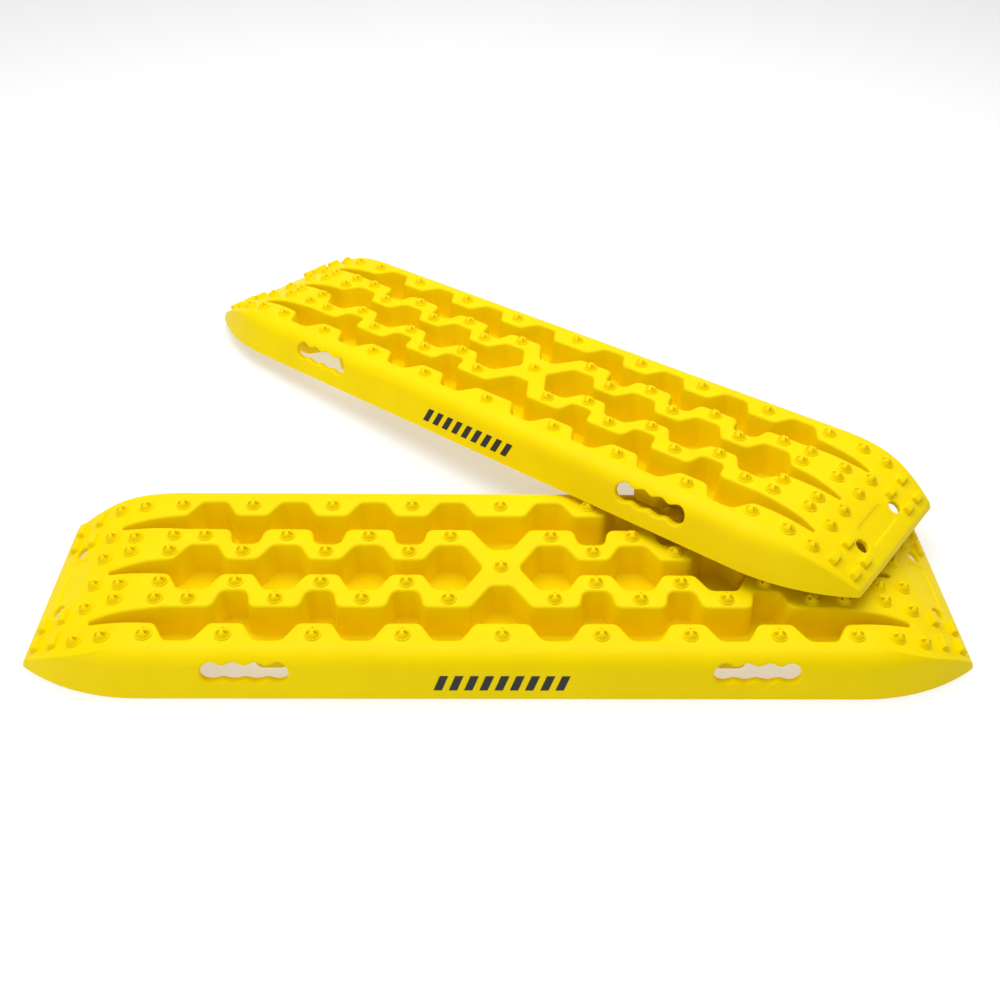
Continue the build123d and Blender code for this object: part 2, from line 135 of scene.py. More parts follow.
def rounded_loop(corners, spacing=5.0, turn_step=12.0):
    """Points, outward normals and corner radii of a closed loop, listed anticlockwise as (x, y, radius)."""
    points, normals, room = [], [], []
    count = len(corners)
    spot = [np.array(corner[:2], float) for corner in corners]
    starts, ends, arcs = [], [], []
    for index in range(count):
        before, here, after = spot[index - 1], spot[index], spot[(index + 1) % count]
        into = (here - before) / np.linalg.norm(here - before)
        out = (after - here) / np.linalg.norm(after - here)
        turn = math.atan2(into[0] * out[1] - into[1] * out[0], float(into @ out))
        setback = corners[index][2] * math.tan(abs(turn) / 2)
        starts.append(here - into * setback)
        ends.append(here + out * setback)
        side = math.copysign(1.0, turn)
        centre = starts[-1] + side * corners[index][2] * np.array([-into[1], into[0]])
        arcs.append((centre, side, turn))
    for index in range(count):
        centre, side, turn = arcs[index]
        radius = corners[index][2]
        steps = max(2, round(abs(math.degrees(turn)) / turn_step))
        spoke = (starts[index] - centre) / radius
        for step in range(steps + 1):
            angle = turn * step / steps
            ray = np.array([spoke[0] * math.cos(angle) - spoke[1] * math.sin(angle),
                            spoke[0] * math.sin(angle) + spoke[1] * math.cos(angle)])
            points.append(centre + ray * radius)
            normals.append(ray * side)
            room.append(radius if side > 0 else 1e3)
        leg = starts[(index + 1) % count] - ends[index]
        length = np.linalg.norm(leg)
        parts = max(1, round(length / spacing))
        for step in range(1, parts):
            points.append(ends[index] + leg * step / parts)
            normals.append(np.array([leg[1], -leg[0]]) / length)
            room.append(1e3)
    return np.array(points), np.array(normals), np.array(room)


def inward_room(points, normals, corner_room):
    """How far each point can slide inwards before it meets the point opposite."""
    after = np.roll(points, -1, axis=0)
    edge = after - points
    room = corner_room.copy()
    for index, (point, normal) in enumerate(zip(points, normals)):
        cross = -normal[0] * edge[:, 1] + normal[1] * edge[:, 0]
        gap = points - point
        with np.errstate(divide="ignore", invalid="ignore"):
            reach = (gap[:, 0] * edge[:, 1] - gap[:, 1] * edge[:, 0]) / cross
            along = (gap[:, 0] * -normal[1] - gap[:, 1] * -normal[0]) / cross
        hits = reach[(reach > 0.5) & (along >= -0.01) & (along <= 1.01)]
        if len(hits):
            room[index] = min(room[index], hits.min() / 2)
    return room


# %% [markdown]
# ## Channel outlines
# Three channels run along the board. The rails bite in and out beside the outer two, and the ribs
# between them swing from side to side and meet in a cross at the middle. The left half mirrors the
# right one. Front and rear mirror each other too, except that every pointed end leans to the front.

# %% Channel outlines
PITCH = 97.4            # one full meander
FIRST_BULGE = 59.9      # the first outward meander
BULGES = 4
RAIL_FACE = 87.0        # across the board: where a rail comes in, and where a channel bites into it
RAIL_NOTCH = 112.0
RIB_FACE = 64.0         # the same for a rib's outer side
RIB_NOTCH = 38.0
MIDDLE_WIDE = 36.0      # half width of the middle channel, where it is wide and where it is narrow
MIDDLE_NARROW = 11.5
NOTCH_HALF = 15.0       # along the board: half the straight wall of a bite
WIDE_HALF = 15.7        # and of the middle channel's wide and narrow stretches
NARROW_HALF = 18.0
SLOPE = 15.0            # run of a slanted wall, and of the steeper ones that bite into a rib
RIB_SLOPE = 6.0
NECK = (12.0, 30.0)     # corners of the cross: its neck and the end of its arm
ARM = 35.0
CROSS_TIP = 21.0        # where the middle channel starts, beside the cross
RAIL_BEND = 442.0       # where the sides of the channels bend as they close up
RIB_BENDS = (376.1, 436.0)
RIB_SWING = 0.45        # share of its way outwards that a rib has come at its second bend
MIDDLE_BEND = (414.0, 10.0)
BEND_LEAN = 0.35        # share of the lean that the middle channel's rear side has at its bend
CHANNEL_END = 472.0
TIP_ACROSS = 77.0
TIP_LEAN = 5.5          # how far each pointed end leans to the front
CORNER = 10.0           # radii: of the meander's corners, of the bends and of the pointed ends
RUNOUT = 32.0
POINT = 3.0


def bite(middle, slope, low, high):
    """Corner points of one bite: from the low line up to the high line and back."""
    return [(middle - NOTCH_HALF - slope, low, CORNER), (middle - NOTCH_HALF, high, CORNER),
            (middle + NOTCH_HALF, high, CORNER), (middle + NOTCH_HALF + slope, low, CORNER)]


def outer_channel(tip):
    """An outer channel's corners, anticlockwise from the middle of its rib side."""
    rail = []
    rib = [(*NECK, CORNER), (ARM, RIB_FACE, CORNER)]
    for step in range(BULGES):
        rail += bite(FIRST_BULGE + step * PITCH, SLOPE, RAIL_FACE, RAIL_NOTCH)
    for step in range(BULGES - 1):
        rib += bite(FIRST_BULGE + (step + 0.5) * PITCH, RIB_SLOPE, RIB_FACE, RIB_NOTCH)
    rail += [(RAIL_BEND, (RAIL_FACE + tip) / 2, RUNOUT), (CHANNEL_END, tip, POINT)]
    rib.append((RIB_BENDS[0], RIB_FACE, RUNOUT))
    rib.append((RIB_BENDS[1], RIB_FACE + RIB_SWING * (tip - RIB_FACE), RUNOUT))
    right = rib + rail[::-1]
    return right + [(-x, y, radius) for x, y, radius in reversed(right)]


def middle_channel():
    """The right middle channel's corners, anticlockwise from its pointed end at the cross."""
    upper = []
    for step in range(BULGES):
        middle = FIRST_BULGE + step * PITCH
        upper += [(middle - WIDE_HALF, MIDDLE_WIDE, CORNER), (middle + WIDE_HALF, MIDDLE_WIDE, CORNER)]
        if step < BULGES - 1:
            middle += PITCH / 2
            upper += [(middle - NARROW_HALF, MIDDLE_NARROW, CORNER),
                      (middle + NARROW_HALF, MIDDLE_NARROW, CORNER)]
    upper.append((middle + WIDE_HALF + SLOPE, MIDDLE_NARROW, CORNER))
    lower = [(x, -y, radius) for x, y, radius in upper]
    bend, half_width = MIDDLE_BEND
    runout = [(bend, -half_width, RUNOUT), (CHANNEL_END, -TIP_LEAN, POINT),
              (bend, half_width - BEND_LEAN * TIP_LEAN, RUNOUT)]
    return [(CROSS_TIP, 0.0, CORNER)] + lower + runout + upper[::-1]


def channel_loops():
    """All four channels as (points, normals, room)."""
    rear = outer_channel(TIP_ACROSS - TIP_LEAN)
    front = [(x, -y, radius) for x, y, radius in reversed(outer_channel(TIP_ACROSS + TIP_LEAN))]
    right = middle_channel()
    left = [(-x, y, radius) for x, y, radius in reversed(right)]
    loops = []
    for corners in (rear, front, right, left):
        points, normals, corner_room = rounded_loop(corners)
        loops.append((points, normals, inward_room(points, normals, corner_room)))
    return loops


CHANNELS = channel_loops()
print("channel points", [len(loop[0]) for loop in CHANNELS])

# %% [markdown]
# ## The skin, as patches
# The skin is collected as patches of points and faces and welded at the end. Strips of quads make the
# walls and the rounded edges. What lies flat between them is filled with a Delaunay triangulation,
# which keeps every given edge and makes even triangles where the ramps curve.

# %% Patches
FILL_GAP = 2.2          # loose points keep this far from the edges that are given


class Skin:
    """Points and faces of a moulded skin, in board millimetres."""

    def __init__(self):
        self.points = []
        self.faces = []
        self.size = 0

    def add(self, points, faces):
        self.points.append(np.asarray(points, float))
        self.faces += [[index + self.size for index in face] for face in faces]
        self.size += len(points)

    def strips(self, rows, left_out=()):
        """Quads between closed rows of equally many points, but for those left out, as (row, column)."""
        count = len(rows[0])
        faces = [[row * count + i, row * count + (i + 1) % count,
                  (row + 1) * count + (i + 1) % count, (row + 1) * count + i]
                 for row in range(len(rows) - 1) for i in range(count) if (row, i) not in left_out]
        self.add(np.vstack(rows), faces)


def inside(points, loop):
    """Which points lie inside a closed loop."""
    x, y = points[:, 0][:, None], points[:, 1][:, None]
    ax, ay = loop[:, 0], loop[:, 1]
    bx, by = np.roll(ax, -1), np.roll(ay, -1)
    with np.errstate(divide="ignore", invalid="ignore"):
        crossing = ((ay > y) != (by > y)) & (x < (bx - ax) * (y - ay) / (by - ay) + ax)
    return crossing.sum(axis=1) % 2 == 1


def clear_of(points, loops, gap):
    """The points that keep a gap from every point of the loops."""
    rim = np.vstack(loops)
    keep = np.ones(len(points), bool)
    for start in range(0, len(points), 500):
        block = points[start:start + 500]
        near = ((block[:, None, :] - rim[None, :, :])**2).sum(axis=2).min(axis=1)
        keep[start:start + 500] = near > gap**2
    return points[keep]


def fill(outer, holes, extra):
    """Triangles between an outer loop and its holes, as flat points and faces."""
    loops = [outer] + list(holes)
    if len(extra):
        extra = extra[inside(extra, outer)]
        for hole in holes:
            extra = extra[~inside(extra, hole)]
        extra = clear_of(extra, loops, FILL_GAP)
    points = np.vstack(loops + ([extra] if len(extra) else []))
    edges = []
    start = 0
    for loop in loops:
        edges += [(start + i, start + (i + 1) % len(loop)) for i in range(len(loop))]
        start += len(loop)
    verts, _, faces, *_ = delaunay_2d_cdt([Vector(p) for p in points], edges, [], 0, 1e-6)
    flat = np.array([tuple(vert) for vert in verts])
    faces = [list(face) for face in faces]
    middles = np.array([flat[face].mean(axis=0) for face in faces])
    keep = inside(middles, outer)
    for hole in holes:
        keep &= ~inside(middles, hole)
    return flat, [face for face, kept in zip(faces, keep) if kept]


# %% [markdown]
# ## Side wall and shoulder
# The side wall leans in by 18 degrees, so that boards stack and leave the mould, and rolls over into
# the deck with a 25 mm round. At each end the plan closes in on the same radius as the ramp, and the
# ramp cuts the wall off along a curved crease.

# %% Side wall
HALF_WIDTH = 153.0
CLOSING_RADIUS = 232.0
WALL = 4.0
DRAFT = math.radians(18.4)
SHOULDER = 25.0
SHOULDER_LEVEL = DECK - SHOULDER
SHOULDER_INSET = (SHOULDER * math.cos(DRAFT)
                  + (SHOULDER_LEVEL + SHOULDER * math.sin(DRAFT)) * math.tan(DRAFT))
TIP_ROUND = 8.0
CREASE_ROUND = 4.0
CREASE_START = RAMP_START + 15.0        # where the crease begins to sharpen, and over what length
CREASE_RUN = 60.0
PATCH_FROM = 217.0      # the stretch of wall that holds a hand slot, and gets its own patch
PATCH_TO = 337.0


def foot_path():
    """The board's outline on the ground: points, outward normals, anticlockwise from the front middle."""
    run = HALF_LENGTH - RAMP_START
    full = math.asin(run / CLOSING_RADIUS)
    turn = math.pi / 2 - full
    trimmed = full - TIP_ROUND * math.tan(turn / 2) / CLOSING_RADIUS
    centre = np.array([RAMP_START, HALF_WIDTH - CLOSING_RADIUS])
    points, normals = [], []
    columns = np.unique(np.concatenate([
        np.arange(0, PATCH_FROM, 7.0), np.arange(PATCH_FROM, PATCH_TO + 0.5, 4.0), [PATCH_TO],
        np.arange(PATCH_TO + 6, RAMP_START, 6.5), [RAMP_START]]))
    for along in columns:
        points.append((along, HALF_WIDTH))
        normals.append((0.0, 1.0))
    for step in range(1, 29):
        angle = trimmed * step / 28
        ray = np.array([math.sin(angle), math.cos(angle)])
        points.append(tuple(centre + CLOSING_RADIUS * ray))
        normals.append(tuple(ray))
    ray = np.array([math.sin(trimmed), math.cos(trimmed)])
    bend = centre + (CLOSING_RADIUS - TIP_ROUND) * ray
    for step in range(1, 8):
        angle = trimmed + (math.pi / 2 - trimmed) * step / 7
        ray = np.array([math.sin(angle), math.cos(angle)])
        points.append((min(bend[0] + TIP_ROUND * ray[0], HALF_LENGTH), bend[1] + TIP_ROUND * ray[1]))
        normals.append(tuple(ray))
    across = bend[1]
    for step in range(1, 17):
        points.append((points[-1][0], across * (1 - step / 16)))
        normals.append((1.0, 0.0))
    quarter, facing = np.array(points), np.array(normals)
    parts, faces = [], []
    for sx, sy, order in ((1, -1, 1), (1, 1, -1), (-1, 1, 1), (-1, -1, -1)):
        sign = np.array([sx, sy])
        parts.append((quarter * sign)[::order][:-1])
        faces.append((facing * sign)[::order][:-1])
    return np.vstack(parts), np.vstack(faces)


def wall_profile(thinner):
    """Knots of the wall's section from foot to deck, as (distance up the curve, inset, height)."""
    radius = SHOULDER - thinner
    angles = DRAFT + (math.pi / 2 - DRAFT) * np.linspace(0, 1, 41)
    inset = SHOULDER_INSET - radius * np.cos(angles)
    height = SHOULDER_LEVEL + radius * np.sin(angles)
    foot = inset[0] - height[0] * math.tan(DRAFT)
    inset = np.concatenate([[foot], inset])
    height = np.concatenate([[0.0], height])
    length = np.concatenate([[0.0], np.cumsum(np.hypot(np.diff(inset), np.diff(height)))])
    return length, inset, height


def wall_rows(points, normals, thinner, shares, beyond):
    """Rows of 3D points up the wall, up to where it meets the deck or ramp, and a little beyond."""
    length, inset, height = wall_profile(thinner)
    radius = RAMP_RADIUS - thinner
    tries = np.linspace(0.0, length[-1], 800)
    d = np.interp(tries, length, inset)
    z = np.interp(tries, length, height)
    along = points[:, 0][:, None] - normals[:, 0][:, None] * d
    ramp = DECK - ramp_drop(along, radius)
    below = z[None, :] < ramp - 1e-4
    below[:, 0] = True
    crease = np.array([tries[row.nonzero()[0][-1]] for row in below])
    flat = np.abs(points[:, 0]) <= RAMP_START
    crease[flat] = length[-1]
    sharpness = np.clip((np.abs(points[:, 0]) - CREASE_START) / CREASE_RUN, 0, 1)
    round_off = (CREASE_ROUND if thinner == 0 else 1.0) * sharpness**2 * (3 - 2 * sharpness)
    rows = []
    for share in shares:
        s = crease * share
        rows.append((np.interp(s, length, inset), np.interp(s, length, height)))
    top_inset, top_height = rows[-1]
    for step in beyond:
        spread = step * (0.15 + 0.85 * sharpness)
        rows.append((top_inset + spread, top_height + 3.0 * spread))
    made = []
    for row_inset, row_height in rows:
        flat_points = points - normals * row_inset[:, None]
        ramp = DECK - ramp_drop(flat_points[:, 0], radius)
        blend = np.maximum(round_off - np.abs(row_height - ramp), 0) / np.maximum(round_off, 1e-6)
        row = np.minimum(row_height, ramp) - blend**2 * round_off / 4
        made.append(np.column_stack([flat_points, row]))
    return made


FOOT, FOOT_NORMALS = foot_path()
print("outline points", len(FOOT))

# %% [markdown]
# ## Hand slots
# Each long wall has two slots for gloved fingers. A slot is four finger lobes in a row, and a short
# collar carries it inwards, so that nothing sharp meets the hand. The slot breaks the wall's quads, so
# the wall round it is filled with triangles and the lip and collar are strips.

# %% Hand slot outlines
SLOT_CENTRE = 277.0
SLOT_LEVEL = 29.0
SLOT_PITCH = 24.0
SLOT_RADIUS = 11.5
SLOT_WAIST = 8.5
SLOT_LIP = 2.5
SLOT_COLLAR = 2.5
COLLAR_END = 138.0      # how near to the board's middle line the collar comes
TUNNEL_MARGIN = 1.5     # where the wall itself is nearer, the collar ends this far behind it


def slot_loop(grow):
    """The slot's outline seen square to the wall, moved outwards by grow: (along, up), anticlockwise."""
    reach = 1.5 * SLOT_PITCH
    along = np.linspace(reach, -reach, 61)
    swell = 0.5 - 0.5 * np.cos(2 * math.pi * along / SLOT_PITCH)
    height = SLOT_WAIST + (SLOT_RADIUS - SLOT_WAIST) * swell
    top = np.column_stack([along, height])
    cap = np.linspace(math.pi / 2, 3 * math.pi / 2, 19)[1:-1]
    left = np.column_stack([-reach + SLOT_RADIUS * np.cos(cap), SLOT_RADIUS * np.sin(cap)])
    loop = np.vstack([top, left, -top, -left])
    tangent = np.roll(loop, -1, axis=0) - np.roll(loop, 1, axis=0)
    tangent /= np.linalg.norm(tangent, axis=1)[:, None]
    return loop + grow * np.column_stack([tangent[:, 1], -tangent[:, 0]])


def up_the_wall(height, thinner):
    """Distance up the wall's section, and its inset, at a height."""
    length, inset, level = wall_profile(thinner)
    return np.interp(height, level, length), np.interp(height, level, inset)


def wall_patch(skin, columns, thinner, shares, sign, hole, middle):
    """Fill the wall's rectangle round a slot, in the plane of along and up-the-wall."""
    length, inset, height = wall_profile(thinner)
    levels = np.array(shares) * length[-1]
    low, high = levels[0], levels[-1]
    bottom = [(column, low) for column in columns]
    right = [(columns[-1], level) for level in levels[1:-1]]
    top = [(column, high) for column in columns[::-1]]
    left = [(columns[0], level) for level in levels[-2:0:-1]]
    outer = np.array(bottom + right + top + left)
    slot_up, _ = up_the_wall(hole[:, 1], thinner)
    slot = np.column_stack([hole[:, 0] + middle, slot_up])
    across, up = np.meshgrid(columns[1:-1], np.concatenate([levels[1:-1], (levels[1:] + levels[:-1]) / 2]))
    flat, faces = fill(outer, [slot], np.column_stack([across.ravel(), up.ravel()]))
    d = np.interp(flat[:, 1], length, inset)
    z = np.interp(flat[:, 1], length, height)
    skin.add(np.column_stack([flat[:, 0], sign * (HALF_WIDTH - d), z]), faces)


def slot_tunnel(skin, middle, sign):
    """The slot's rounded lip, tunnel and collar, from the outer wall to the inner wall."""
    rows = []
    for step in range(6):
        angle = math.pi / 2 * step / 5
        loop = slot_loop(SLOT_LIP * (1 - math.sin(angle)))
        level = loop[:, 1] + SLOT_LEVEL
        _, inset = up_the_wall(level, 0.0)
        push = SLOT_LIP * (1 - math.cos(angle))
        rows.append(np.column_stack([loop[:, 0] + middle, sign * (HALF_WIDTH - inset - push), level]))
    for grow, back in ((0.0, 1.2), (0.4, 0.3), (1.25, 0.0), (2.1, 0.3), (SLOT_COLLAR, 1.2)):
        loop = slot_loop(grow)
        level = loop[:, 1] + SLOT_LEVEL
        _, inset = up_the_wall(level, WALL)
        reach = np.minimum(COLLAR_END, HALF_WIDTH - inset - TUNNEL_MARGIN)
        rows.append(np.column_stack([loop[:, 0] + middle, sign * (reach + back), level]))
    loop = slot_loop(SLOT_COLLAR)
    level = loop[:, 1] + SLOT_LEVEL
    _, inset = up_the_wall(level, WALL)
    rows.append(np.column_stack([loop[:, 0] + middle, sign * (HALF_WIDTH - inset), level]))
    skin.strips(rows)


# %% [markdown]
# ## Leash holes and the ramp recess
# A leash hole goes square through the ramp, with a boss under it. Its rings are worked out on the
# ramp's own cylinder, so the skin and the hole share their edge exactly. Between the two holes the
# ramp has a shallow recess.

# %% Leash holes and recess
LEASH_RADIUS = 8.5
LEASH_LIP = 1.5
BOSS_WALL = 3.5
BOSS_EDGE = 0.6         # chamfer of the boss's rim
RECESS_DEPTH = 1.75
RECESS_CORNERS = ((489.0, -31.0, 5.0), (514.0, -34.0, 5.0), (514.0, 34.0, 5.0), (489.0, 31.0, 5.0))


def ring_on_ramp(side, across, radius, ramp_radius, push=0.0):
    """A ring of 3D points round a leash hole, on the ramp's outer or inner cylinder."""
    turn = np.linspace(0, 2 * math.pi, 41)[:-1]
    x, y = radius * np.cos(turn), radius * np.sin(turn)
    depth = RAMP_RADIUS - np.sqrt(ramp_radius**2 - x**2) + push
    past = (RAMP_RADIUS - depth) * math.sin(LEASH_LEAN) + x * math.cos(LEASH_LEAN)
    height = DECK - RAMP_RADIUS + (RAMP_RADIUS - depth) * math.cos(LEASH_LEAN) - x * math.sin(LEASH_LEAN)
    ring = np.column_stack([side * (RAMP_START + past), across + y, height])
    return ring if side > 0 else ring[::-1]


def leash_rows(side, across):
    """Rows from the ramp's top, through the hole and round its boss, to the ramp's underside."""
    rows = []
    for step in range(4):
        angle = math.pi / 2 * step / 3
        rows.append(ring_on_ramp(side, across, LEASH_RADIUS + LEASH_LIP * (1 - math.sin(angle)),
                                 RAMP_RADIUS, LEASH_LIP * (1 - math.cos(angle))))
    for grow, push in ((0.0, LEASH_DEPTH - BOSS_EDGE), (BOSS_EDGE, LEASH_DEPTH),
                       (BOSS_WALL - BOSS_EDGE, LEASH_DEPTH), (BOSS_WALL, LEASH_DEPTH - BOSS_EDGE)):
        rows.append(ring_on_ramp(side, across, LEASH_RADIUS + grow, RAMP_RADIUS, push))
    rows.append(ring_on_ramp(side, across, LEASH_RADIUS + BOSS_WALL, RAMP_RADIUS - WALL))
    return rows


def recess_rows(side):
    """Rows from the ramp's top down into the recess."""
    points, normals, _ = rounded_loop(RECESS_CORNERS, spacing=6.0, turn_step=15.0)
    rows = []
    for grow, sink in ((1.2, 0.0), (0.3, 0.25), (-0.4, 0.9), (-1.1, 1.5), (-2.2, RECESS_DEPTH)):
        flat = points + normals * grow
        flat = flat * np.array([side, 1.0])
        height = DECK - ramp_drop(flat[:, 0]) - sink
        row = np.column_stack([flat, height])
        rows.append(row if side > 0 else row[::-1])
    return rows


# %% [markdown]
# ## Channel walls
# A channel wall stands almost upright, with 5 degrees of draft, and is rounded where it leaves the deck
# and where it meets the floor. Towards the channel's pointed end the two walls close up, so each
# point's slide is held to the room that it has there.

# %% Channel walls
FLOOR_TOP = 6.0
FLOOR_UNDER = 2.0
CHANNEL_LEAN = math.radians(5.0)
CHANNEL_DRAFT = math.tan(CHANNEL_LEAN)
ROOM_USED = 0.86        # share of its room that a point may slide inwards
EDGE_ROUND = 4.0
FLOOR_ROUND = 3.4
UNDER_ROUND = 1.0


def channel_rows(points, normals, room):
    """Rows from the deck round the edge, down the wall and round on to the floor."""
    top = DECK - ramp_drop(points[:, 0])
    centre = EDGE_ROUND * (1 / math.cos(CHANNEL_LEAN) - CHANNEL_DRAFT)
    rows = []
    for step in range(6):
        angle = (math.pi / 2 - CHANNEL_LEAN) * step / 5
        rows.append((np.full(len(points), centre - EDGE_ROUND * math.sin(angle)),
                     top - EDGE_ROUND * (1 - math.cos(angle))))
    foot = -(top - FLOOR_TOP - FLOOR_ROUND) * CHANNEL_DRAFT - FLOOR_ROUND / math.cos(CHANNEL_LEAN)
    low = []
    for step in range(5):
        angle = CHANNEL_LEAN + (math.pi / 2 - CHANNEL_LEAN) * step / 4
        low.append((foot + FLOOR_ROUND * math.cos(angle), FLOOR_TOP + FLOOR_ROUND * (1 - math.sin(angle))))
    for share in (0.33, 0.67):
        rows.append(tuple(rows[5][part] * (1 - share) + low[0][part] * share for part in (0, 1)))
    rows += low
    limit = ROOM_USED * room
    made = []
    for slide, height in rows:
        held = np.maximum(slide, -limit)
        lowest = top - limit / CHANNEL_DRAFT
        height = np.where(slide < -limit, np.maximum(height, lowest), height)
        flat = points + normals * held[:, None]
        if len(made) < 6:
            height = height + DECK - ramp_drop(flat[:, 0]) - top
        made.append(np.column_stack([flat, height]))
    return made


def under_rows(points, normals):
    """Rows from the deck's underside down the back of the channel wall to the floor's underside."""
    top = DECK - ramp_drop(points[:, 0], RAMP_RADIUS - WALL)
    deep = top - FLOOR_UNDER
    rows = [
        (WALL + UNDER_ROUND, top),
        (WALL + 0.3 * UNDER_ROUND, top - 0.3 * UNDER_ROUND),
        (WALL - CHANNEL_DRAFT * UNDER_ROUND, top - UNDER_ROUND),
        (WALL - CHANNEL_DRAFT * deep / 2, top - deep / 2),
        (WALL - CHANNEL_DRAFT * (deep - UNDER_ROUND), FLOOR_UNDER + UNDER_ROUND),
        (WALL - CHANNEL_DRAFT * deep - 0.3 * UNDER_ROUND, FLOOR_UNDER + 0.3 * UNDER_ROUND),
        (WALL - CHANNEL_DRAFT * deep - UNDER_ROUND, np.full(len(points), FLOOR_UNDER)),
    ]
    made = []
    for slide, height in rows:
        slide = np.broadcast_to(slide, len(points))
        flat = points + normals * slide[:, None]
        if len(made) < 3:
            height = height + DECK - ramp_drop(flat[:, 0], RAMP_RADIUS - WALL) - top
        made.append(np.column_stack([flat, np.broadcast_to(height, len(points))]))
    return made


# %% [markdown]
# ## Weld the moulding
# All the patches are welded into one closed skin, and faces turn outwards. Only the creases that the
# mould leaves sharp stay sharp.

# %% Build the moulding
OUTER_SHARES = (0.0, 0.02, 0.2, 0.4, 0.52, 0.58, 0.64, 0.7, 0.76, 0.82, 0.88, 0.94, 1.0)
INNER_SHARES = (0.0, 0.3, 0.55, 0.65, 0.75, 0.85, 0.93, 1.0)
OUTER_BEYOND = (0.7, 1.4, 2.4, 4.0)     # how far past the crease the wall's last rows lie
INNER_BEYOND = (1.0,)
DECK_SPACING = (26.0, 26.0)     # loose points along and across, on the deck, the ramps and the floors
RAMP_SPACING = (4.5, 9.0)
FLOOR_SPACING = (12.0, 12.0)


def lift(flat, rim, level):
    """Give flat points a height: a level, or the rim's own height where a point is one of the rim's."""
    height = np.full(len(flat), level)
    gap = np.abs(flat[:, None, :] - rim[None, :, :2]).max(axis=2)
    nearest = gap.argmin(axis=1)
    on_rim = gap.min(axis=1) < 1e-3
    height[on_rim] = rim[nearest[on_rim], 2]
    return np.column_stack([flat, height])


def even_grid(step_x, step_y, from_x, to_x):
    """A staggered grid of points over both halves of the board, from one distance along it to another."""
    points = []
    for row, x in enumerate(np.arange(from_x, to_x, step_x)):
        for y in np.arange(3 - HALF_WIDTH + (row % 2) * step_y / 2, HALF_WIDTH - 3, step_y):
            points += [(x, y), (-x, y)]
    return np.array(points)


def side_walls(skin):
    """Both sides of the wall, open round the hand slots. Returns the last row of each, by thickness."""
    last_rows, first_rows = {}, []
    patch_middle = (PATCH_FROM + PATCH_TO) / 2
    patch_half = (PATCH_TO - PATCH_FROM) / 2 + 1e-6
    beside_slot = (np.abs(np.abs(FOOT[:, 0]) - patch_middle) <= patch_half) & (
        np.abs(FOOT[:, 1]) >= HALF_WIDTH - 1e-6)
    open_columns = (beside_slot & np.roll(beside_slot, -1)).nonzero()[0]
    columns = np.sort(FOOT[beside_slot & (FOOT[:, 0] > 0) & (FOOT[:, 1] > 0)][:, 0])
    for thinner, shares, beyond in ((0.0, OUTER_SHARES, OUTER_BEYOND), (WALL, INNER_SHARES, INNER_BEYOND)):
        rows = wall_rows(FOOT, FOOT_NORMALS, thinner, shares, beyond)
        skin.strips(rows, {(row, column) for row in range(len(shares) - 1) for column in open_columns})
        last_rows[thinner] = rows[-1]
        first_rows.append(rows[0])
        hole = slot_loop(SLOT_LIP if thinner == 0 else SLOT_COLLAR) + np.array([0.0, SLOT_LEVEL])
        for sx in (-1, 1):
            for sy in (-1, 1):
                run = columns if sx > 0 else -columns[::-1]
                wall_patch(skin, run, thinner, shares, sy, hole, sx * SLOT_CENTRE)
    skin.strips(first_rows[::-1])
    return last_rows


def moulding():
    """The whole skin in board millimetres, as points and faces."""
    skin = Skin()
    last_rows = side_walls(skin)
    for sx in (-1, 1):
        for sy in (-1, 1):
            slot_tunnel(skin, sx * SLOT_CENTRE, sy)
    channels = [channel_rows(*loop) for loop in CHANNELS]
    unders = [under_rows(points, normals) for points, normals, _ in CHANNELS]
    leashes = [leash_rows(sx, sy * LEASH_ACROSS) for sx in (-1, 1) for sy in (-1, 1)]
    recesses = [recess_rows(side) for side in (-1, 1)]
    for rows in channels + unders + leashes + recesses:
        skin.strips(rows)
    loose = np.vstack([even_grid(*DECK_SPACING, 0.0, RAMP_START - 10.0),
                       even_grid(*RAMP_SPACING, RAMP_START - 4.0, HALF_LENGTH - 1.5)])
    above = [rows[0] for rows in channels + leashes + recesses]
    below = [rows[0] for rows in unders] + [rows[-1] for rows in leashes]
    for thinner, holes in ((0.0, above), (WALL, below)):
        flat, faces = fill(last_rows[thinner][:, :2], [hole[:, :2] for hole in holes], loose)
        skin.add(np.column_stack([flat, DECK - ramp_drop(flat[:, 0], RAMP_RADIUS - thinner)]), faces)
    for rows in channels:
        flat, faces = fill(rows[-1][:, :2], [], even_grid(*FLOOR_SPACING, 0.0, 450.0))
        skin.add(lift(flat, rows[-1], FLOOR_TOP), faces)
    for rows in unders:
        flat, faces = fill(rows[-1][:, :2], [], np.empty((0, 2)))
        skin.add(lift(flat, rows[-1], FLOOR_UNDER), faces)
    for rows in recesses:
        flat, faces = fill(rows[-1][:, :2], [], even_grid(*RAMP_SPACING, 485.0, 520.0))
        skin.add(np.column_stack([flat, DECK - ramp_drop(flat[:, 0]) - RECESS_DEPTH]), faces)
    return np.vstack(skin.points), skin.faces


